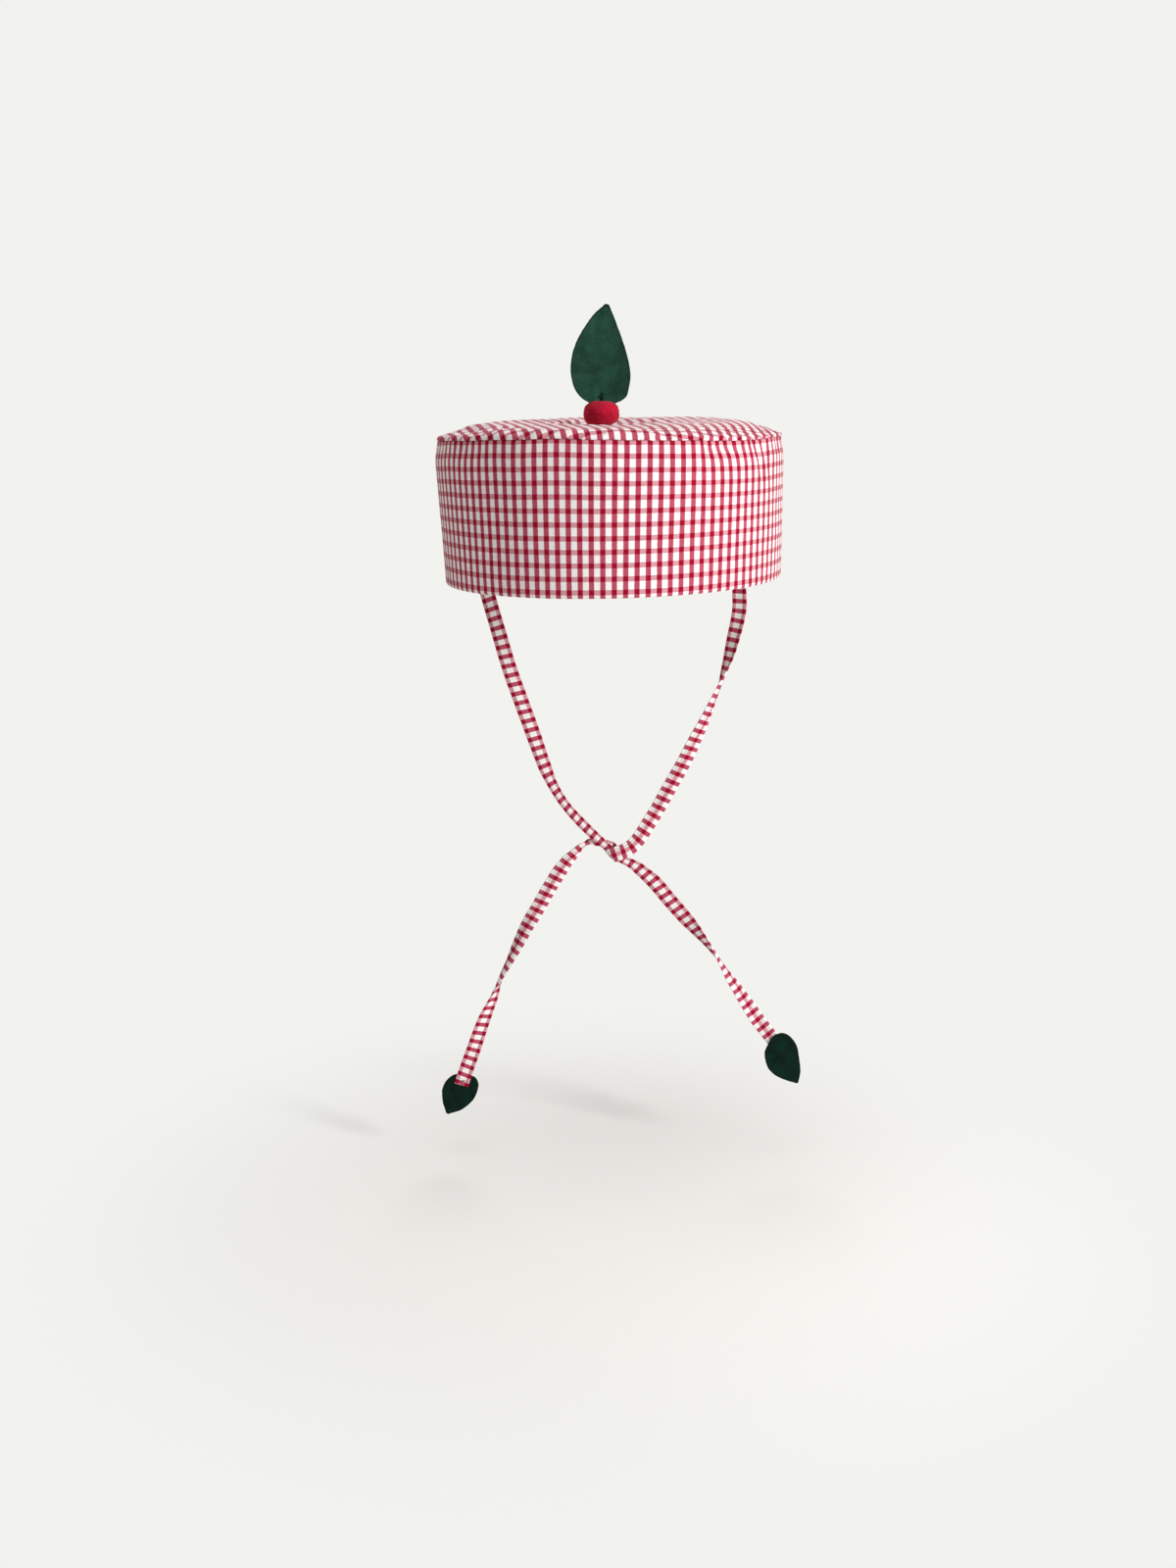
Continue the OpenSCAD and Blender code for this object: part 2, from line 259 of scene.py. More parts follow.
rose = blend_tones(check, yarn_top, ink("#AA3450"), ink("#C65C72"))
pink = blend_tones(check, yarn_top, ink("#C98490"), ink("#DAA2AB"))
plain = blend_tones(check, yarn_top, ink("#F1ECEB"), ink("#FBF8F7"))
crimson = blend_tones(check, yarn_top, ink("#8C001E"), ink("#A60430"))
off_weft = blend_tones(check, warp_stripe, plain, rose)
on_weft = blend_tones(check, warp_stripe, pink, crimson)
dyed = blend_tones(check, weft_stripe, off_weft, on_weft)
slubs = []
for lie in ((2.4, 0.05, 1.0), (0.05, 2.4, 1.0)):
    stretched = place(check, "VectorMath", {0: given.outputs[0], 1: lie}, operation="MULTIPLY")
    slub = place(check, "TexNoise", {"Vector": stretched.outputs[0], "Scale": 1.0, "Detail": 3.0})
    slubs.append(slub.outputs["Fac"])
slub_sum = reckon(check, "ADD", slubs[0], slubs[1])
yarn_shade = reckon(check, "MULTIPLY_ADD", slub_sum, 0.22, 0.78)
shaded = place(check, "VectorMath", {0: dyed, "Scale": yarn_shade}, operation="SCALE")
height = reckon(check, "MULTIPLY_ADD", slub_sum, 0.35, yarn_top)
taken = check.nodes.new("NodeGroupOutput")
check.links.new(shaded.outputs[0], taken.inputs[0])
check.links.new(height, taken.inputs[1])


def cloth_finish(name, roughness, sheen):
    """A new cloth material, with its shader and the place on the cloth in millimetres."""
    material, tree, shader = new_paint(name, roughness, 0.12)
    shader.inputs["Sheen Weight"].default_value = sheen
    shader.inputs["Sheen Roughness"].default_value = 0.25
    return material, tree, shader, place(tree, "UVMap", uv_map="cloth").outputs[0]


def surface(tree, shader, colour, height, depth, strength):
    """Gives a shader its colour, and the relief of its yarns or fibres to a depth in metres."""
    relief = place(tree, "Bump", {"Height": height, "Distance": depth, "Strength": strength})
    tree.links.new(colour, shader.inputs["Base Color"])
    tree.links.new(relief.outputs[0], shader.inputs["Normal"])


check_cotton, tree, shader, grain = cloth_finish("check cotton", 0.9, 0.2)
woven = place(tree, "Group", node_tree=check)
tree.links.new(grain, woven.inputs[0])
surface(tree, shader, woven.outputs[0], woven.outputs[1], check_relief, 0.5)


def bearing(co):
    """How far round the hat a point is, from 0 at the front to pi at the back, to the right as plus."""
    return math.atan2(co.x, -co.y)


def outwards(co):
    """The level way from the hat's axis out to a point."""
    return Vector((co.x, co.y, 0)).normalized()


def turned(profile, steps, faces_in=False):
    """Turns a chain of (radius, height) points in millimetres about the hat's axis, as one skin."""
    runs = [0.0]
    for (radius, height), (next_radius, next_height) in zip(profile, profile[1:]):
        runs.append(runs[-1] + math.hypot(next_radius - radius, next_height - height))
    last = len(profile) - 1
    bm = bmesh.new()
    run = bm.verts.layers.float.new("run")
    bmesh.ops.create_grid(bm, x_segments=steps, y_segments=last, size=1)
    for vert in bm.verts:
        turn = math.pi * (vert.co.x + 1)
        i = round((vert.co.y + 1) / 2 * last)
        radius, height = profile[i]
        vert[run] = runs[i]
        vert.co = Vector((math.sin(turn) * radius, -math.cos(turn) * radius, height)) * MM
    bmesh.ops.remove_doubles(bm, verts=bm.verts[:], dist=1e-6)
    bmesh.ops.recalc_face_normals(bm, faces=bm.faces[:])
    bm.normal_update()
    outermost = max(bm.faces, key=lambda f: f.calc_center_median().xy.length)
    if (outermost.normal.xy.dot(outermost.calc_center_median().xy) < 0) != faces_in:
        bmesh.ops.reverse_faces(bm, faces=bm.faces[:])
    return bm, run


def lay_cloth(bm, run, spot):
    """Lays the cloth's grain on a turned skin. spot gives a place in millimetres from a bearing."""
    layer = bm.loops.layers.uv.new("cloth")
    for face in bm.faces:
        face.smooth = True
        middle = bearing(face.calc_center_median())
        for loop in face.loops:
            co = loop.vert.co
            turn = bearing(co) if co.xy.length > 1e-5 else middle
            turn = middle + (turn - middle + math.pi) % math.tau - math.pi
            loop[layer].uv = spot(turn, loop.vert[run], co)


def near(value, middle, width):
    """1 at the middle, falling away softly over the width."""
    return math.exp(-(((value - middle) / width) ** 2))


def ease(value, start, end):
    """0 up to start, 1 from end on, with a smooth rise between."""
    share = min(1, max(0, (value - start) / (end - start)))
    return share * share * (3 - 2 * share)


def rows_between(start, end, count):
    """Evenly spaced points from start to end, both included."""
    return [
        tuple(a + (b - a) * i / (count - 1) for a, b in zip(start, end)) for i in range(count)
    ]


def rows_round(centre, radius, start, end, steps):
    """Points round a bend, from one angle to another in degrees, both included."""
    angles = [math.radians(start + (end - start) * i / steps) for i in range(steps + 1)]
    return [(centre[0] + radius * math.cos(a), centre[1] + radius * math.sin(a)) for a in angles]


def give_thickness(piece, thickness, offset=-1):
    """Makes a skin as thick as its cloth, inwards from its outer face or about its middle at 0."""
    thick = piece.modifiers.new("cloth", "SOLIDIFY")
    thick.thickness = thickness * MM
    thick.offset = offset


# The lean of the band, and how much the rim and the crown tilt with it
lean_across = math.radians(1.9)
lean_rim = 0.026
lean_crown = 0.015

# How far the crown's seam dips (minus) and how far its corner rolls inwards, in millimetres, by bearing
seam_dips = [
    (-180, 0, 1.0), (-150, -0.4, 1.0), (-120, -1.4, 1.4), (-95, -2.4, 2.2), (-77, -2.4, 1.7),
    (-60, -1.0, 1.2), (-35, 0.3, 0.8), (-17, 1.1, 0.6), (-2, 0.4, 0.5), (8, -0.1, 0.5),
    (25, -0.9, 0.6), (34, -1.6, 0.8), (45, -2.2, 1.2), (55, -2.4, 1.6), (69, -2.1, 1.5),
    (90, -2.4, 1.6), (115, -1.4, 1.3), (145, -0.4, 1.2), (180, 0, 1.0),
]


def seam_at(turn):
    """The dip and the roll of the crown's corner at a bearing."""
    degrees = min(180, max(-180, math.degrees(turn)))
    for (start, dip, roll), (end, next_dip, next_roll) in zip(seam_dips, seam_dips[1:]):
        if degrees <= end:
            share = ease(degrees, start, end)
            return dip + (next_dip - dip) * share, roll + (next_roll - roll) * share


def as_it_hangs(co):
    """The whole hat leans a little to one side, its crown seam dips and rolls in unevenly, and the
    crown's shoulder droops at both sides."""
    turn = bearing(co)
    height, flat = co.z / MM, co.xy.length / MM
    up = min(1, max(0, height / band_height))
    dip, roll = seam_at(turn)
    sideways = 1 - roll / seam_radius * ease(height, 66, 79) * ease(flat, 74, 92)
    x = co.x * sideways - (height - band_height / 2) * MM * math.sin(lean_across)
    tilt = co.x * (lean_rim + (lean_crown - lean_rim) * up)
    z = co.z + tilt + dip * MM * ease(height, 20, 78) * ease(flat, 66, 92)
    degrees = math.degrees(turn)
    droop = 1.9 * near(degrees, 88, 34) + 0.9 * near(degrees, -88, 30)
    droop *= ease(height, 78.6, 82) * ease(flat, 70, 91)
    x *= 1 - 0.008 * droop
    z -= droop * MM
    return Vector((x, co.y * sideways, z))


# Puckers where the seam draws the cloth in: bearing in degrees, depth, width, reach down the band, and
# how many degrees round it runs on the way down
puckers = [
    (45, -0.35, 3.5, 18, 3), (-53, 0.5, 2.0, 12, -2), (-60, -0.3, 3, 12, 0), (-37, 0.35, 2.0, 9, 0),
    (23, 0.3, 2.2, 10, 0), (-12, 0.25, 2.2, 8, 0), (9, -0.2, 3, 9, 0), (-24, 0.25, 1.8, 9, -2),
    (70, 0.6, 1.8, 14, 3), (78, 0.4, 2.2, 12, 0), (101, 0.35, 2.4, 10, 0), (128, 0.5, 2.2, 13, 0),
    (152, 0.35, 2.4, 9, 0), (-84, 0.5, 2.0, 10, -3), (-70, 0.45, 1.6, 11, -3), (-108, 0.4, 2.4, 12, 0),
    (-131, 0.35, 2.2, 9, 0), (-158, 0.45, 2.4, 11, 0),
]

# Small tucks that take up the band's spare cloth at the front right: bearing in degrees at the seam,
# degrees round for each millimetre down, cloth taken in, reach down the band, and how high they stand
tucks = [
    (50.8, 0.27, 3.0, 30, 1.25), (29.4, 0.2, 1.1, 10, 0.35), (33.2, 0.2, 0.8, 8, 0.3),
    (37.0, 0.2, 0.8, 8, 0.3),
]


def beside_tuck(turn, height, where, slant, reach):
    """Millimetres to the right of a tuck's fold line, and how much of the tuck is left at this height."""
    off = math.degrees(turn) - where - slant * (band_height - height)
    return off * math.pi / 180 * seam_radius, ease(height, band_height - reach, band_height - reach / 4)


def band_relief(turn, height):
    """How far the band's cotton stands off its stiffener, in millimetres."""
    round_about = Vector((math.sin(turn), math.cos(turn), 0))
    slow = noise.noise(round_about * 2.6 + Vector((0, 0, height * 0.012)))
    quick = noise.noise(round_about * 9 + Vector((0, 0, height * 0.05)))
    rise = 0.35 * slow + 0.10 * quick
    for where, depth, width, reach, slant in puckers:
        off = math.degrees(turn) - where - slant * (band_height - height) / reach
        off = (off + 180) % 360 - 180
        along = off * math.pi / 180 * seam_radius
        rise -= depth * near(along, 0, width) * ease(height, band_height - reach, band_height)
    for where, slant, taken_in, reach, stands in tucks:
        off, left = beside_tuck(turn, height, where, slant, reach)
        rise += stands * left * (ease(off, -0.3, 2.6) - ease(off, 2.2, 9) - 0.3 * near(off, -0.5, 1.2))
    back = (math.pi - abs(turn)) * seam_radius
    rise -= 0.55 * near(back, 0, 0.7) - 0.25 * near(back, 2.2, 1.4)
    edge = 0.2 * near(height, band_height, 0.8)
    nipped = 0.22 * noise.noise(round_about * 31) * ease(height, band_height - 7, band_height)
    return (rise + nipped) * ease(height, 0.5, 8) - edge


def band_grain(turn, run, co):
    height = co.z / MM
    top = ease(height, 52, 78)
    degrees = math.degrees(turn)
    drawn = 2.6 * top * top * ease(degrees, 22, 40) * (1 - ease(degrees, 50, 62))
    drawn -= 2.2 * top * top * (1 - ease(degrees, -56, -34)) * ease(degrees, -92, -66)
    for where, slant, taken_in, reach, stands in tucks:
        off, left = beside_tuck(turn, height, where, slant, reach)
        drawn += taken_in * left * ease(off, -1.4, 1.4) * (1 - ease(off, 3, 22))
    sway = 0.35 * noise.noise(Vector((math.sin(turn) * 3, math.cos(turn) * 3, height * 0.02)))
    upright = (band_height / 2 - height) * math.sin(lean_across) * math.cos(turn)
    return turn * band_stripe_radius - 0.6 + drawn + sway + upright, run - hem_to_wall - 2.0


corner_radius = seam_radius - seam_corner
turning = 7.4
bm, run = turned(
    rows_between((hem_radius, hem_height), (hem_radius, fold_radius), 7)[:-1]
    + rows_round((hem_radius + fold_radius, fold_radius), fold_radius, 180, 360, 10)
    + rows_between((rim_radius, fold_radius), (seam_radius, wall_top), 63)[1:]
    + rows_round((corner_radius, wall_top), seam_corner, 0, 90, 3)[1:]
    + rows_between((corner_radius, band_height), (corner_radius - turning, band_height), 5)[1:],
    around,
)
lay_cloth(bm, run, band_grain)
for vert in bm.verts:
    height = vert.co.z / MM
    if vert[run] > hem_to_wall - 1:
        vert.co += outwards(vert.co) * band_relief(bearing(vert.co), height) * MM
    vert.co = as_it_hangs(vert.co)
band_cloth = made_of(bm, "band_cloth", check_cotton)
give_thickness(band_cloth, cloth_thickness)
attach(band_cloth, "hat")
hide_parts("side_band")

# Stiffening
# A stiff non-woven layer stands between the band's cotton and its hem, and a disc of it lies under the
# crown. Both are cut flat and sewn in with the seams.
stiffening, tree, shader, grain = cloth_finish("stiffening", 0.9, 0.0)
matted = place(tree, "TexNoise", {"Vector": grain, "Scale": 1.6, "Detail": 8.0, "Roughness": 0.7})
flecks = blend_tones(tree, matted.outputs["Fac"], ink("#D9D2C2"), ink("#F0EADC"))
surface(tree, shader, flecks, matted.outputs["Fac"], 0.0002, 0.5)


def flat_grain(turn, run, co):
    """Cloth cut as a disc: the place across and along it."""
    return co.x / MM, co.y / MM


def tube_grain(turn, run, co):
    """Cloth cut as a straight strip and closed round the hat."""
    return turn * rim_radius, co.z / MM


def hat_layer(name, profile, steps, grain, material, thickness=0):
    """One turned layer of the hat, leaning with the rest, as a skin or with the thickness of its cloth."""
    bm, run = turned(profile, steps)
    lay_cloth(bm, run, grain)
    for vert in bm.verts:
        vert.co = as_it_hangs(vert.co)
    layer = made_of(bm, name, material)
    if thickness:
        give_thickness(layer, thickness)
    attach(layer, "hat")
    return layer


stiffener_thickness = 1.1
for name, rows, cut, node_name in (
    ("band_stiffening", rows_between((90.7, 1.0), (93.1, 76.2), 30), tube_grain, "band_stiffener"),
    ("crown_stiffening", rows_between((0, 77.3), (92.6, 77.3), 24), flat_grain, "crown_stiffener"),
):
    layer = hat_layer(name, rows, 180, cut, stiffening, stiffener_thickness)
    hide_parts(node_name)

# Lining
# Plain off-white cotton: a tube inside the band, slip-stitched to the hem a few millimetres up, and a
# disc sewn to its upper edge under the crown. It is the part that the head meets.
lining_radius = 88.5
lining_height = 73.5
lining_thickness = 0.45
lining_cotton, tree, shader, grain = cloth_finish("lining cotton", 0.85, 0.08)
over_under = over_and_under(tree, place(tree, "SeparateXYZ", {0: grain}), 0.36)
cloudy = place(tree, "TexNoise", {"Vector": grain, "Scale": 0.09, "Detail": 5.0})
off_white = blend_tones(tree, cloudy.outputs["Fac"], ink("#E9E2DA"), ink("#F7F3EE"))
yarn_dark = reckon(tree, "MULTIPLY_ADD", over_under, 0.03, 0.97)
toned = place(tree, "VectorMath", {0: off_white, "Scale": yarn_dark}, operation="SCALE")
creases = place(tree, "TexNoise", {"Vector": grain, "Scale": 0.05, "Detail": 3.0, "Distortion": 0.6})
crumple = reckon(tree, "MULTIPLY_ADD", creases.outputs["Fac"], 12.0, over_under)
surface(tree, shader, toned.outputs[0], crumple, 0.00008, 0.5)


def lining_relief(turn, height):
    """Slack of the lining between its seams, in millimetres. It only ever bows outwards."""
    round_about = Vector((math.sin(turn), math.cos(turn), 0))
    slack = noise.noise(round_about * 3.1 + Vector((0, 0, height * 0.018)))
    return 0.35 * abs(slack) * math.sin(math.pi * min(1, height / lining_height))


bm, run = turned(
    rows_between((lining_radius + 0.3, 0.8), (lining_radius, lining_height), 40), 240, faces_in=True
)
lay_cloth(bm, run, tube_grain)
for vert in bm.verts:
    vert.co += outwards(vert.co) * lining_relief(bearing(vert.co), vert.co.z / MM) * MM
    vert.co = as_it_hangs(vert.co)
band_lining_cloth = made_of(bm, "band_lining_cloth", lining_cotton)
give_thickness(band_lining_cloth, lining_thickness)
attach(band_lining_cloth, "hat")
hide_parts("band_lining")

disc_rows = rows_between((0, lining_height - 0.8), (84, lining_height - 0.3), 34) + [
    (86, lining_height - 0.1), (87.6, lining_height + 0.1), (88.6, lining_height + 0.2),
]
crown_lining_cloth = hat_layer("crown_lining_cloth", disc_rows, 200, flat_grain, lining_cotton)
underside = crown_lining_cloth.data
if sum(face.normal.z for face in underside.polygons) > 0:
    underside.flip_normals()
give_thickness(crown_lining_cloth, lining_thickness)
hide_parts("crown_lining")

# Sewing thread
# Cotton thread: slip stitches that close the lining to the hem, the crown's seam stitches inside the
# turnings, and a bar tack over each tie in the hem.


def thread_finish(name, dark, light):
    """Twisted thread: two plies that turn along each stitch."""
    material, tree, shader = new_paint(name, 0.7, 0.2)
    place_on = place(tree, "TexCoord").outputs["Object"]
    plies = place(
        tree, "TexWave", {"Vector": place_on, "Scale": 900.0, "Distortion": 2.0, "Detail": 2.0},
        bands_direction="DIAGONAL",
    )
    tone = blend_tones(tree, plies.outputs["Fac"], ink(dark), ink(light))
    surface(tree, shader, tone, plies.outputs["Fac"], 0.00008, 0.6)
    return material


pale_thread = thread_finish("pale thread", "#C9A9A9", "#E6D2D0")


def add_stitch(bm, start, end, thickness, rise):
    """A stitch from start to end in millimetres, bowed out along rise at its middle."""
    start, end, rise = Vector(start), Vector(end), Vector(rise)
    made = bmesh.ops.create_uvsphere(bm, u_segments=8, v_segments=8, radius=0.5)["verts"]
    along = end - start
    side = along.cross(rise if rise.length else Vector((0, 0, 1))).normalized()
    up = side.cross(along).normalized()
    for vert in made:
        t = vert.co.z
        sink = 1 - 4 * t * t
        spot = start + along * (t + 0.5) + rise * sink
        spot += side * vert.co.x * thickness + up * vert.co.y * thickness
        vert.co = spot * MM
    for vert in made:
        for face in vert.link_faces:
            face.smooth = True


def finish_stitches(bm, name, material, body, slot, *nodes):
    """Closes a row of stitches as one piece on its body."""
    bmesh.ops.recalc_face_normals(bm, faces=bm.faces[:])
    row = made_of(bm, name, material)
    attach(row, body)
    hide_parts(*nodes)
    return row


def stitch_round(bm, count):
    """Repeats what has been sewn at the front evenly round the hat."""
    bmesh.ops.spin(
        bm, geom=bm.verts[:] + bm.edges[:] + bm.faces[:], cent=(0, 0, 0), axis=(0, 0, 1),
        angle=math.tau * (count - 1) / count, steps=count - 1, use_duplicate=True,
    )
    for vert in bm.verts:
        vert.co = as_it_hangs(vert.co)


# One stitch of each seam is sewn at the front and repeated round the hat
thread_thickness = 0.36
slip_stitches = 96
seam_stitches = 230
bowed = (0, 0.25, -0.15)
bm = bmesh.new()
add_stitch(
    bm, (0, -lining_radius - 0.15, 1.0), (1.3, -lining_radius - 0.14, 1.5), thread_thickness, bowed
)
add_stitch(
    bm, (0.8, -hem_radius - 0.1, 0.7), (2.1, -hem_radius - 0.08, 1.1), thread_thickness, bowed
)
stitch_round(bm, slip_stitches)
finish_stitches(bm, "rim_slip_stitches", pale_thread, "hat", "pale_thread", "rim_seam_stitches")
bm = bmesh.new()
add_stitch(
    bm, (0, 1.6 - seam_radius, band_height - 0.2), (1.9, 1.62 - seam_radius, band_height - 0.2),
    thread_thickness, (0, 0, 0.12),
)
stitch_round(bm, seam_stitches)
finish_stitches(bm, "crown_seam_thread", pale_thread, "hat", "pale_thread", "crown_seam_stitches")

# Where the ties are tacked in, behind and beside the middle, and the bars of each tack
tie_plane = 53.5
tie_root = 73.2
tack_length = 5.0
tack_bars = 7
bar_thickness = 0.4
for side, node_name in ((-1, "tie_tack_left"), (1, "tie_tack_right")):
    bm = bmesh.new()
    middle = math.atan2(side * tie_root, -tie_plane)
    for i in range(tack_bars):
        a = middle + (i / (tack_bars - 1) - 0.5) * tack_length / hem_radius
        radius = lining_radius - 0.1
        across = Vector((math.sin(a) * radius, -math.cos(a) * radius, 0))
        add_stitch(
            bm, across + Vector((0, 0, 1.2)), across + Vector((0, 0, 4.0)),
            bar_thickness, (-math.sin(a) * 0.2, math.cos(a) * 0.2, 0),
        )
    for vert in bm.verts:
        vert.co = as_it_hangs(vert.co)
    finish_stitches(bm, node_name + "_bars", pale_thread, "hat", "pale_thread", node_name)

# Crown
# A disc of the same check cotton over a thin pad of wadding, cut a little large and eased into the seam,
# so that it puffs up into a soft rounded shoulder. The ball's thread draws its middle down.
crown_top_height = 82.8
crown_middle_height = 80.8
shoulder_height = 79.2
shoulder_rise = 3.2
shoulder_start = 68
drawn_down = 17
drawn_slope = 14
crown_turn = math.radians(8)
crown_steps = 300
crown_seam_height = 78.03
settling_steps = 20


def crown_rows(inset):
    """The crown's profile from its middle, which the ball draws down, out to the seam."""
    middle, top = crown_middle_height - inset, crown_top_height - inset
    rows = rows_between((0, middle), (drawn_down, middle), 10)
    rows += [
        (drawn_down + drawn_slope * i / 8, middle + (top - middle) * ease(i / 8, 0, 1))
        for i in range(1, 9)
    ]
    rows += rows_between((33, top), (shoulder_start, top - 0.2), 18)
    for i in range(1, 27):
        a = math.radians(90 * (i / 26) ** 0.8)
        out = shoulder_start + (seam_radius - inset - shoulder_start) * math.sin(a) ** 0.92
        rows.append((out, shoulder_height + (shoulder_rise - inset) * math.cos(a) ** 0.62))
    return rows


def crown_grain(turn, run, co):
    flat = co.xy.length / MM
    reach = 0.65 * flat + 0.35 * run
    across, along = math.sin(turn) * reach, -math.cos(turn) * reach
    sway = 0.5 * noise.noise(Vector((across * 0.03, along * 0.03, 3.0)))
    across, along = (
        across * math.cos(crown_turn) + along * math.sin(crown_turn),
        along * math.cos(crown_turn) - across * math.sin(crown_turn),
    )
    return across - 0.3 + sway + 13.0, along + 2.2


def crown_relief(turn, flat):
    """Gathers at the shoulder and the soft unevenness of the pad, in millimetres."""
    round_about = Vector((math.sin(turn), math.cos(turn), 0))
    pad = 0.55 * noise.noise(round_about * flat * 0.030 + Vector((4, 2, 0)))
    pad += 0.18 * noise.noise(round_about * flat * 0.10 + Vector((0, 5, 1)))
    edge = ease(flat, 70, 92)
    gathers = 0.45 * noise.noise(round_about * 16) + 0.28 * noise.noise(round_about * 33)
    degrees = math.degrees(turn)
    gathers *= 0.7 + 0.9 * near(degrees, -52, 24) + 0.5 * near(degrees, 60, 20)
    return pad * ease(flat, 9, 30) * (1 - 0.4 * edge) + gathers * edge


seam_rows = [(94.35, 78.45), (94.1, 78.1), (93.4, crown_seam_height)]
seam_rows += rows_between((92.0, crown_seam_height), (allowance_radius, crown_seam_height), 4)
bm, run = turned(crown_rows(0) + seam_rows, crown_steps)
lay_cloth(bm, run, crown_grain)
for vert in bm.verts:
    flat, height = vert.co.xy.length / MM, vert.co.z / MM
    turn = bearing(vert.co)
    if height > 78.1:
        loose = ease(height, 78.1, 79.4) * crown_relief(turn, flat)
        out = outwards(vert.co) if flat > 1 else Vector((0, 0, 1))
        over = ease(flat, 88, 93.5)
        vert.co += (out * over + Vector((0, 0, 1)) * (1 - 0.6 * over)) * loose * MM
    vert.co = as_it_hangs(vert.co)
crown_cloth = made_of(bm, "crown_cloth", check_cotton)


def let_settle(piece, held, pressure, spare, most):
    """Sews the cloth down where held says, puffs it up over its pad and lets its spare cloth crease.
    No point moves further than most, in millimetres."""
    before = [vert.co.copy() for vert in piece.data.vertices]
    sewn = piece.vertex_groups.new(name="sewn")
    for vert in piece.data.vertices:
        sewn.add([vert.index], held(vert.co), "REPLACE")
    cloth = piece.modifiers.new("settling", "CLOTH")
    for setting, value in {
        "quality": 6, "mass": 0.2, "tension_stiffness": 25, "compression_stiffness": 25,
        "shear_stiffness": 10, "bending_stiffness": 0.15, "use_pressure": True,
        "uniform_pressure_force": pressure, "shrink_min": -spare, "vertex_group_mass": "sewn",
    }.items():
        setattr(cloth.settings, setting, value)
    cloth.settings.effector_weights.gravity = 0
    cloth.point_cache.frame_start = 1
    cloth.point_cache.frame_end = settling_steps
    for step in range(1, settling_steps + 1):
        scene.frame_set(step)
    settled = piece.evaluated_get(bpy.context.evaluated_depsgraph_get())
    for vert, was, now in zip(piece.data.vertices, before, settled.data.vertices):
        moved = now.co - was
        if moved.length > most * MM:
            moved = moved.normalized() * most * MM
        vert.co = was + moved
    piece.modifiers.remove(cloth)
    piece.vertex_groups.remove(sewn)
    scene.frame_set(1)


ball_low, ball_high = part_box("felt_ball")
ball_aside = 0.0004
ball_middle = (ball_low + ball_high) / 2 - Vector((ball_aside, 0, 0))


def crown_held(co):
    """1 where the crown is sewn: at its seam, in its turning and under the ball."""
    under_ball = (co.xy - ball_middle.xy).length / MM
    return max(1 - ease(under_ball, 8, 14), ease(co.xy.length / MM, 93.2, 94.0), co.z < 0.0784)


let_settle(crown_cloth, crown_held, pressure=3.0, spare=0.015, most=1.2)
give_thickness(crown_cloth, cloth_thickness)
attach(crown_cloth, "hat")
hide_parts("crown_top")

wadding_fibre, tree, shader, grain = cloth_finish("wadding fibre", 0.95, 0.3)
fluff = place(tree, "TexNoise", {"Vector": grain, "Scale": 0.7, "Detail": 8.0, "Distortion": 1.5})
fluffy = blend_tones(tree, fluff.outputs["Fac"], ink("#DCDAD4"), ink("#F5F3EF"))
surface(tree, shader, fluffy, fluff.outputs["Fac"], 0.0005, 0.6)
wadding_rows = crown_rows(1.9) + [(92.4, 79.2), (91.0, 78.9), (86.5, 78.8), (84.5, 77.7)]
wadding_rows += rows_between((82, 77.5), (0, 77.5), 12)
wadding_pad = hat_layer("wadding_pad", wadding_rows, 160, flat_grain, wadding_fibre)
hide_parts("crown_wadding")

# Felt ball
# A ball of crimson wool, rolled and felted by hand. The doubled thread that draws it down on the crown
# squashes it a little.
ball_size = ball_high - ball_low
ball_squareness = 0.86


def felt_finish(name, dark, middle, light, fuzz, edge_shade=None, lie=(1, 1, 1)):
    """Wool felt: matted fibres with cloudy tones, and lighter fibres painted on as highlights. The colour
    after fuzz is painted shade along a cut piece's edge, fading out a millimetre in, and lie stretches the
    fibres along the way they were wound."""
    material, tree, shader = new_paint(name, 0.92, 0.15)
    shader.inputs["Sheen Weight"].default_value = fuzz
    shader.inputs["Sheen Roughness"].default_value = 0.6
    place_on = place(tree, "TexCoord").outputs["Object"]
    cloud = place(tree, "TexNoise", {"Vector": place_on, "Scale": 170.0, "Detail": 6.0})
    drawn_out = place(tree, "VectorMath", {0: place_on, 1: lie}, operation="MULTIPLY").outputs[0]
    fibre = place(
        tree, "TexNoise",
        {"Vector": drawn_out, "Scale": 900.0, "Detail": 8.0, "Roughness": 0.75, "Distortion": 2.5},
    )
    spread = share_between(tree, cloud.outputs["Fac"], 0.32, 0.68, "LINEAR")
    tones = blend_tones(tree, spread, ink(dark), ink(middle))
    # Painted highlights: fibres turn lighter where the fibre noise is high.
    fibre_highlight = share_between(tree, fibre.outputs["Fac"], 0.5, 0.8, "LINEAR")
    fibres_highlights_and_edge_shade = blend_tones(tree, fibre_highlight, tones, ink(light))
    # Painted shade along the cut edge: the face darkens to the given colour within a millimetre of the
    # edge.
    if edge_shade:
        across = place(tree, "SeparateXYZ", {0: place(tree, "UVMap", uv_map="cut").outputs[0]})
        inside = share_between(tree, across.outputs[0], 0.0, 1.1)
        fibres_highlights_and_edge_shade = blend_tones(tree, inside, ink(edge_shade), fibres_highlights_and_edge_shade)
    matted = reckon(tree, "MULTIPLY_ADD", cloud.outputs["Fac"], 1.6, fibre.outputs["Fac"])
    surface(tree, shader, fibres_highlights_and_edge_shade, matted, 0.0005, 0.6)
    return material


red_felt = felt_finish("red felt", "#8E001C", "#B8042E", "#D4244A", 0.04, lie=(0.16, 0.16, 0.9))
bm = bmesh.new()
bmesh.ops.create_uvsphere(bm, u_segments=128, v_segments=84, radius=1)


def squared(value, power):
    """Makes a round form squarer as the power falls below 1."""
    return math.copysign(abs(value) ** power, value)


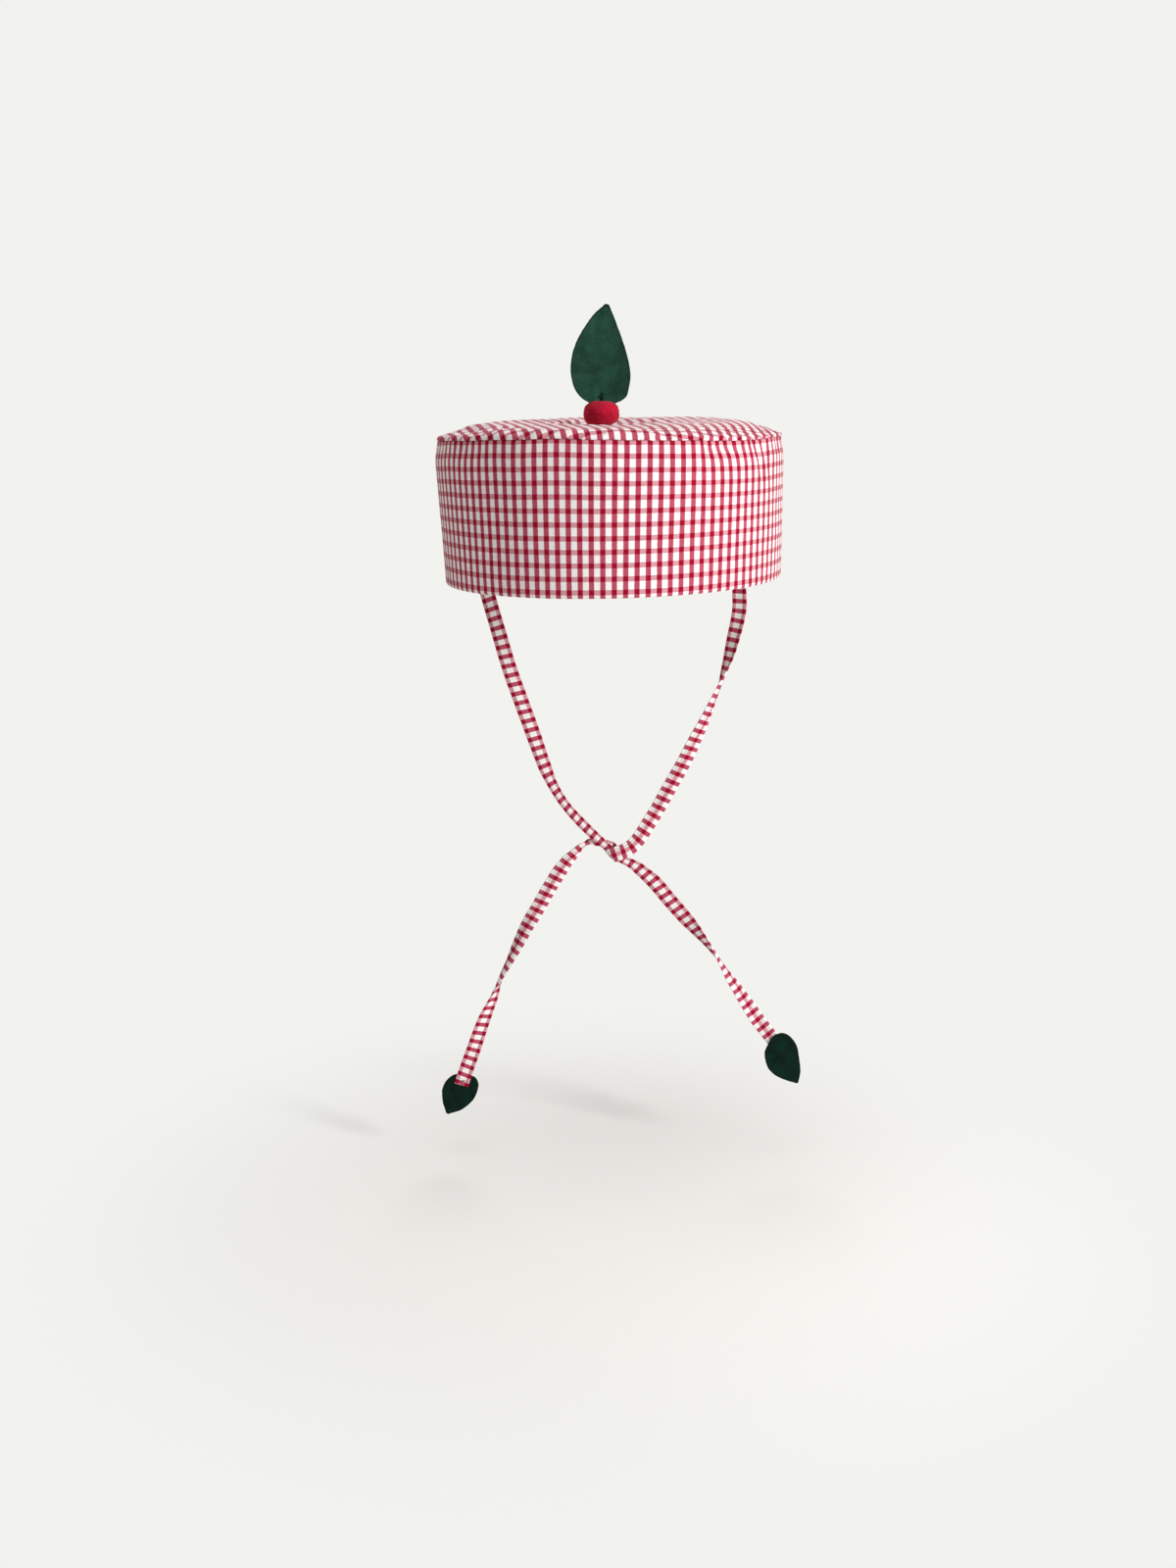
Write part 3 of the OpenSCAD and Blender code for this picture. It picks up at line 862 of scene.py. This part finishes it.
for vert in bm.verts:
    away = vert.co.normalized()
    flat = squared(away.xy.length, ball_squareness)
    turn = math.atan2(away.y, away.x)
    spot = Vector((flat * math.cos(turn), flat * math.sin(turn), squared(away.z, ball_squareness)))
    lumps = 0.055 * noise.noise(away * 1.7 + Vector((3, 1, 2))) + 0.018 * noise.noise(away * 6)
    wound = 0.006 * math.sin(26 * (away.z + 0.35 * away.x) + 3 * noise.noise(away * 2))
    spot *= 1.0 + lumps + wound * ease(away.x, -0.2, 0.5)
    spot.z -= 0.10 * near(away.xy.length, 0, 0.22) * (away.z > 0)
    vert.co = ball_middle + Vector(tuple(s * size / 2 for s, size in zip(spot, ball_size)))
    vert.co.z -= 0.0007 * (1 - ease(away.z, -0.2, 0.6))
for face in bm.faces:
    face.smooth = True
bmesh.ops.recalc_face_normals(bm, faces=bm.faces[:])
wool_ball = made_of(bm, "wool_ball", red_felt)
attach(wool_ball, "hat")
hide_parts("felt_ball")
red_thread = thread_finish("red thread", "#5E0014", "#8E0A28")
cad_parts["ball_thread"].data.materials.clear()
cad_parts["ball_thread"].data.materials.append(red_thread)

# Standing leaf
# A leaf cut from thick green wool felt. A stitch above its foot pinches it together, so that it stands
# up behind the ball. Its two sides are cut by eye, and both ends are a little blunt.
leaf_thickness = 1.35
leaf_thread = 0.55
blunt = 0.012
leaf_left = [
    (-0.6, 0.0), (-3.4, 0.6), (-4.0, 3.4), (-4.3, 8.4), (-6.6, 11.4), (-10.0, 13.6), (-13.5, 17.6),
    (-15.4, 22.5), (-16.4, 29), (-15.3, 37.6), (-12.4, 45.2), (-8.6, 51.6), (-3, 58.8), (3.0, 63.1),
]
leaf_right = [
    (0.6, 0.0), (3.4, 0.6), (4.0, 3.4), (4.4, 8.4), (7.6, 10.9), (11.4, 12.7), (14.2, 15.4),
    (15.1, 19.4), (15.9, 25), (15, 32.5), (12.9, 40.2), (10, 48.5), (5.6, 59.4), (3.4, 63.1),
]


def along_side(side, share):
    """A point part of the way along a chain of points, smoothly between them."""
    steps = [(Vector(b) - Vector(a)).length for a, b in zip(side, side[1:])]
    left = share * sum(steps)
    i = 0
    while i < len(steps) - 1 and left > steps[i]:
        left -= steps[i]
        i += 1
    ends = [Vector(side[max(0, min(len(side) - 1, j))]) for j in (i - 1, i, i + 1, i + 2)]
    return curve_through(ends, min(1, left / steps[i]))


def curve_through(ends, t):
    """Smooth curve between the middle two of four points."""
    p0, p1, p2, p3 = ends
    return 0.5 * (
        2 * p1 + (p2 - p0) * t + (2 * p0 - 5 * p1 + 4 * p2 - p3) * t * t
        + (3 * p1 - p0 - 3 * p2 + p3) * t * t * t
    )


def felt_leaf_piece(name, left, right, rows, columns, thickness, shape, material):
    """A felt leaf cut between its two sides, with a rounded tip. shape(x, z, across, along) gives each
    point's place in metres."""
    bm = bmesh.new()
    inwards = {}
    tip_way = (Vector(left[-1]) + Vector(right[-1]) - Vector(left[-3]) - Vector(right[-3])).normalized()
    bmesh.ops.create_grid(bm, x_segments=columns, y_segments=rows, size=1)
    for vert in bm.verts:
        across, along = (vert.co.x + 1) / 2, (vert.co.y + 1) / 2
        along = blunt + (1 - 2 * blunt) * along
        a, b = along_side(left, along), along_side(right, along)
        nib = 0.6 * (1 - (2 * across - 1) ** 2) * ease(along, 0.95, 0.996)
        x, z = a.lerp(b, across) + tip_way * nib
        vert.co = shape(x, z, across * 2 - 1, along)
        inwards[vert] = (1 - abs(across * 2 - 1)) * (a - b).length / 2, along
    # The cut map holds each point's distance in from the edge, which sets the painted shade along the
    # edge.
    cut = bm.loops.layers.uv.new("cut")
    for face in bm.faces:
        face.smooth = True
        for loop in face.loops:
            loop[cut].uv = inwards[loop.vert]
    bm.normal_update()
    if sum(face.normal.y for face in bm.faces) > 0:
        bmesh.ops.reverse_faces(bm, faces=bm.faces[:])
    bmesh.ops.smooth_vert(
        bm, verts=[v for v in bm.verts if not v.is_boundary], factor=0.5,
        use_axis_x=True, use_axis_y=True, use_axis_z=True,
    )
    leaf = made_of(bm, name, material)
    give_thickness(leaf, thickness, 0)
    cut = leaf.modifiers.new("cut edge", "BEVEL")
    cut.width = 0.3 * MM
    cut.segments = 2
    cut.limit_method = "ANGLE"
    cut.angle_limit = math.radians(50)
    return leaf


# Its last colour is painted shade along the leaf's cut edge.
green_felt = felt_finish("green felt", "#0E3226", "#1D4A39", "#336350", 0.05, "#071C15")
leaf_low, leaf_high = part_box("felt_leaf")
leaf_foot = Vector((-0.0055, (leaf_low.y + leaf_high.y) / 2, leaf_low.z))
pinch_height = 14.8


def standing_shape(x, z, across, along):
    """Cupped a little forwards at both sides, with a crease below its stitch, nodding back at the tip."""
    cup = 1.1 * across * across * ease(z, 6, 26) * (1 - 0.6 * ease(z, 46, 62))
    low = 1 - ease(z, pinch_height, pinch_height + 3.5)
    crease = 1.9 * near(x + 0.5, 0, 1.0) * low
    crease -= 0.6 * near(abs(x + 0.5), 3.0, 1.8) * near(z, pinch_height - 2, 6)
    crease += 0.7 * near(x - 1.5, (z - pinch_height) * 0.4, 1.6) * near(z, pinch_height + 2, 5)
    sway = 0.4 * noise.noise(Vector((x * 0.07, z * 0.07, 1)))
    ragged = 0.18 * noise.noise(Vector((x * 0.5, z * 0.5, 7))) * abs(across) ** 6
    y = crease * ease(z, 3, 9) - cup + sway * ease(z, 8, 24) + 0.5 * ease(z, 30, 63)
    return leaf_foot + Vector((x + ragged, y, z)) * MM


felt_leaf = felt_leaf_piece(
    "standing_leaf", leaf_left, leaf_right, 64, 30, leaf_thickness, standing_shape, green_felt
)
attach(felt_leaf, "leaf")
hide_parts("felt_leaf")
green_thread = thread_finish("green thread", "#06120E", "#12281F")
stitch_low, stitch_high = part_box("leaf_stitch")
stitch_at = (stitch_low + stitch_high) / 2 / MM
bm = bmesh.new()
for lift in (-1.6, -0.9):
    add_stitch(
        bm, (stitch_at.x - 1.3, stitch_at.y + 0.3, stitch_at.z + lift - 0.2),
        (stitch_at.x + 1.3, stitch_at.y + 0.3, stitch_at.z + lift + 0.2), leaf_thread, (0, -0.3, 0),
    )
finish_stitches(bm, "leaf_pinch_stitch", green_thread, "leaf", "green_thread", "leaf_stitch")

# Ties
# Two flat strips of the same check cotton, folded to four layers with a line of stitching near one edge.
# Each is tacked inside the hem and hangs from the rim. The right one passes over the left one and round
# behind it in a loose half knot.
tie_width = 8.8
tie_thickness = 1.15
tie_round = 40
tie_step = 0.85
tie_squareness = 0.62

# Points along each tie: across, behind the tacks, up, how much of its width is open, and how far round
# its flat is turned in degrees. In the knot's lap the way of its width is given as well.
left_route = [
    (-71.4, -0.4, 2.0, 0.8, -54), (-71.5, -0.3, -2.3, 0.85, -52), (-72.0, 0, -5, 0.95, -36),
    (-71.9, 0, -9.5, 1, -6), (-70, 0, -18, 1, 14), (-65, 0, -36, 1, 10), (-58.8, 0, -58, 1, 6),
    (-52, 0, -78, 1, 0), (-45.3, 0, -97, 1, 0), (-38.5, 0, -117, 0.9, 0), (-34, 0, -128, 0.7, 0),
    (-29, 0, -137, 0.62, 0), (-24, 0, -144, 0.62, 0), (-18.3, 0, -150.5, 0.66, 0),
    (-12.5, 0, -156.6, 0.66, 0), (-6.7, 0, -162.2, 0.62, 0), (-1, 0, -167.6, 0.55, 0),
    (4.2, 0, -172.8, 0.5, 0), (9.3, 0, -175.8, 0.54, 0), (14, 0, -178, 0.66, 0),
    (19, 0, -181.7, 0.85, 0), (28, 0, -190, 1, 0), (37, 0, -201, 1, 0), (46, 0, -211.5, 1, 12),
    (53, 0, -219.5, 1, 36), (60, 0, -228, 1, 61), (67, 0, -238.5, 1, 88), (74, 0, -249.5, 1, 115),
    (81.6, 0, -261.5, 1, 138), (89.7, 0, -274.5, 1, 164), (95, 0, -281.8, 1, 180),
    (102, 0, -291, 1, 180),
]
right_route = [
    (74.0, -0.4, 5.6, 0.8, 54), (74.1, -0.3, 1.4, 0.85, 52), (74.3, 0, -2.5, 0.95, 46),
    (74.7, 0, -9, 1, 34), (75.2, 0, -18, 1, 26), (74.9, 0, -28, 1, 28), (71.3, 0, -46, 1, 44),
    (69.2, 0, -55.5, 1, 62), (66.5, 0, -64, 1, 84), (63.7, 0, -72, 1, 104), (57.6, 0, -87.5, 1, 132),
    (50.9, 0, -101.5, 1, 155), (44.2, 0, -115.5, 1, 172), (36.6, 0, -129.5, 1, 180),
    (28, 0, -145.5, 1, 180), (22.6, -0.8, -154.2, 1, 180), (18.2, -1.7, -161.2, 1, 180),
    (13.8, -2.4, -166.2, 1, 180), (9.2, -2.7, -169.0, 1, 180), (5.0, -2.6, -170.8, 1.04, 180),
    (1.9, -1.8, -172.3, 1.08, 180, (-0.6, 0, 0.8)), (0.9, 0, -173.0, 1.04, 180, (-0.64, 0, 0.77)),
    (1.2, 1.7, -173.3, 0.86, 0, (-0.82, 0, 0.57)), (2.4, 2.4, -171.4, 0.62, 0, (-0.95, 0, 0.3)),
    (3.2, 2.6, -168.8, 0.47, 0), (1.6, 2.6, -166.6, 0.45, 0), (-1.5, 2.5, -165.8, 0.45, 0),
    (-5, 2.3, -165.4, 0.48, 12), (-9, 1.8, -164.9, 0.52, 40), (-12.5, 1.0, -165.0, 0.58, 85),
    (-16, 0.4, -167, 0.64, 125), (-20, 0, -171, 0.72, 155), (-25, 0, -176.2, 0.86, 175),
    (-30, 0, -183.3, 1, 180), (-37.2, 0, -195.5, 1, 182), (-43, 0, -206, 1, 188),
    (-49.1, 0, -216.3, 1, 205), (-55.6, 0, -229, 1, 228), (-60, 0, -237.6, 1, 246),
    (-65.4, 0, -249, 1, 270), (-70.5, 0, -262.5, 1, 305), (-76.5, 0, -277.6, 1, 333),
    (-82, 0, -294, 1, 350), (-87.6, 0, -310, 1, 360), (-90.5, 0, -319, 1, 360),
]

tie_cotton, tree, shader, grain = cloth_finish("tie cotton", 0.9, 0.1)
woven = place(tree, "Group", node_tree=check)
tree.links.new(grain, woven.inputs[0])
# The section map's second value is painted shade in the groove along the tie's stitch line, and the woven
# colour is scaled by it.
on_section = place(tree, "SeparateXYZ", {0: place(tree, "UVMap", uv_map="section").outputs[0]})
stitch_groove_shade = place(
    tree, "VectorMath", {0: woven.outputs[0], "Scale": on_section.outputs[1]}, operation="SCALE"
)
surface(tree, shader, stitch_groove_shade.outputs[0], woven.outputs[1], check_relief, 0.5)


def tie_rings(route):
    """Rings along a route, each with its middle, its width's way, its normal, its open share and how
    far along the tie it is."""
    count = len(route)
    middles = [Vector((p[0], p[1] + tie_plane, p[2])) for p in route]
    wide = []
    for i, p in enumerate(route):
        ahead = (middles[min(count - 1, i + 1)] - middles[max(0, i - 1)]).normalized()
        if len(p) > 5:
            across = Vector(p[5])
        else:
            flat = ahead.cross(Vector((0, 1, 0))).normalized()
            face = ahead.cross(flat)
            turn = math.radians(p[4])
            across = flat * math.cos(turn) + face * math.sin(turn)
        wide.append((across - ahead * across.dot(ahead)).normalized())
    rings = []
    for i in range(count - 1):
        at = [max(0, min(count - 1, j)) for j in (i - 1, i, i + 1, i + 2)]
        pieces = max(1, round((middles[i + 1] - middles[i]).length / tie_step))
        for k in range(pieces + (i == count - 2)):
            t = k / pieces
            rings.append((
                curve_through([middles[j] for j in at], t),
                curve_through([wide[j] for j in at], t),
                route[i][3] + (route[i + 1][3] - route[i][3]) * ease(t, 0, 1),
            ))
    made = []
    travelled = 0.0
    for i, (middle, across, share) in enumerate(rings):
        ahead = (rings[min(len(rings) - 1, i + 1)][0] - rings[max(0, i - 1)][0]).normalized()
        across = (across - ahead * across.dot(ahead)).normalized()
        if i:
            travelled += (middle - rings[i - 1][0]).length
        made.append((middle, across, ahead.cross(across), share, travelled))
    return made


def tie_section(k):
    """The tie's rounded flat section: place across its width and off its middle, from -1 to 1."""
    a = math.tau * k / tie_round
    return squared(math.cos(a), tie_squareness), squared(math.sin(a), tie_squareness)


def tie_piece(name, route, phase, stitched_at, seed):
    """Sews one tie along its route, with its stitch line at stitched_at across it. Returns the tie, the
    line through its middle and its length."""
    rings = tie_rings(route)
    bm = bmesh.new()
    bmesh.ops.create_grid(bm, x_segments=tie_round, y_segments=len(rings) - 1, size=1)
    cloth_uv = bm.loops.layers.uv.new("cloth")
    section_uv = bm.loops.layers.uv.new("section")
    grid = {}
    for vert in bm.verts:
        k = round((vert.co.x + 1) / 2 * tie_round)
        i = round((vert.co.y + 1) / 2 * (len(rings) - 1))
        grid[vert] = (k, i)
    for face in bm.faces:
        face.smooth = True
        for loop in face.loops:
            k, i = grid[loop.vert]
            across, off = tie_section(k)
            length = rings[i][4]
            middle_k = sum(grid[corner][0] for corner in face.verts) / 4
            over = middle_k < tie_round / 2
            stripe = across * tie_width / 2 + (weft_spacing / 2 if over else 0)
            skew = 0.5 * math.sin(length * 0.045 + seed)
            loop[cloth_uv].uv = (length + phase + skew * across, stripe)
            # The second value darkens a narrow line at the stitching by up to 45%: painted shade in its
            # groove.
            loop[section_uv].uv = (across, 1 - 0.45 * near(across, stitched_at, 0.09))
    for vert, (k, i) in grid.items():
        middle, wide_way, normal, share, length = rings[i]
        across, off = tie_section(k)
        squeeze = 1 - share
        pleat = squeeze * 0.75 * math.cos(across * 7.5 + 0.4 * math.sin(length * 0.3 + seed))
        groove = 0.16 * near(across, stitched_at, 0.08) * math.copysign(1, off)
        curl = (0.15 + 1.3 * wide_way.y ** 2) * (across * across - 0.35)
        crumple = curl + 0.16 * noise.noise(Vector((across * 1.3, length * 0.11, seed)))
        body = tie_thickness / 2 * off * (1 + 0.9 * squeeze)
        wavy = 0.10 * noise.noise(Vector((length * 0.16, seed, math.copysign(1, across))))
        spot = middle + wide_way * (across * (tie_width * share / 2 + wavy))
        spot += normal * (body + pleat * 0.5 + crumple - groove)
        vert.co = spot * MM
    bmesh.ops.remove_doubles(bm, verts=bm.verts[:], dist=2e-6)
    ends = bmesh.ops.holes_fill(bm, edges=[e for e in bm.edges if e.is_boundary], sides=0)
    bmesh.ops.triangulate(bm, faces=ends["faces"])
    bmesh.ops.recalc_face_normals(bm, faces=bm.faces[:])
    return made_of(bm, name, tie_cotton), [tuple(ring[0] * MM) for ring in rings], rings[-1][4]


left_tie, left_line, left_length = tie_piece("left_tie", left_route, 1.5, -0.55, 1.0)
right_tie, right_line, right_length = tie_piece("right_tie", right_route, 3.0, 0.55, 5.0)
for tie, node_name in ((left_tie, "tie_left"), (right_tie, "tie_right")):
    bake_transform(tie)
    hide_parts(node_name)

# Tip leaves
# A small leaf of very dark green felt is stitched to the end of each tie: behind it at the lower left,
# in front of it at the lower right.
# Its last colour is painted shade along each tip leaf's cut edge.
dark_felt = felt_finish("dark green felt", "#001009", "#01231A", "#063226", 0.0, "#000A06")
tip_thickness = 1.15
left_tip_sides = (
    [(2, 4.6), (-3.4, 6.5), (-8.5, 3.2), (-11.5, -2), (-12, -6.5), (-11.4, -13), (-9.4, -18.9)],
    [(2.6, 4.7), (7.2, 5.3), (9.7, 2.8), (10.5, -1), (8.6, -7.5), (5.5, -12), (-0.6, -17), (-8.4, -19.4)],
)
right_tip_sides = (
    [(3.8, 6.7), (0.5, 5.6), (-2.5, 3), (-4.3, -0.4), (-6.4, -5.7), (-5.7, -11.8), (-3.4, -17),
     (1.7, -21.4), (9.6, -24.6), (13.4, -25.6)],
    [(4.4, 6.6), (7.5, 5.4), (11.3, 1.6), (13.5, -2.9), (14.4, -7.3), (15.6, -16.3), (15.2, -22),
     (14.3, -25.3)],
)


def tip_shape(end, depth, bow):
    """A flat little leaf by the tie's end, curled a little away from it towards the tip."""
    def shape(x, z, across, along):
        curl = bow * (ease(along, 0.35, 1.0) + 0.35 * across * across * ease(along, 0.1, 0.5))
        ragged = 0.15 * noise.noise(Vector((x * 0.6, z * 0.6, 7))) * abs(across) ** 6
        return Vector((end[0] + x + ragged, depth + curl, end[1] + z)) * MM
    return shape


tip_pieces = {}
for side, sides, end, body, stitch_body in (
    ("left", left_tip_sides, (-90.5, -319), "tip_left", "ties"),
    ("right", right_tip_sides, (102, -291), "tip_right", "tip_right"),
):
    low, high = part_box("tip_leaf_" + side)
    behind = side == "left"
    tip_leaf = felt_leaf_piece(
        side + "_tip_leaf", sides[0], sides[1], 40, 22, tip_thickness,
        tip_shape(end, low.y / MM + 0.05, 0.8 if behind else -0.5), dark_felt,
    )
    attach(tip_leaf, body)
    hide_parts("tip_leaf_" + side)
    low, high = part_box("tip_stitch_" + side)
    middle = (low + high) / 2 / MM
    half = (high.x - low.x) / 2 / MM
    bm = bmesh.new()
    for lift in (-0.3, 0.3):
        add_stitch(
            bm, (middle.x - half, middle.y + 0.1, middle.z + lift),
            (middle.x + half, middle.y + 0.1, middle.z - lift), thread_thickness, (0, -0.25, 0),
        )
    tip_stitch = finish_stitches(
        bm, side + "_tip_stitch", green_thread, stitch_body, "green_thread", "tip_stitch_" + side
    )
    tip_pieces[side] = [tip_leaf, tip_stitch]

for tie, line, length, root, pieces in (
    (left_tie, left_line, left_length, -tie_root, tip_pieces["right"]),
    (right_tie, right_line, right_length, tie_root, tip_pieces["left"]),
):
    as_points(line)
    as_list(pieces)

scene.view_settings.view_transform = "Standard"
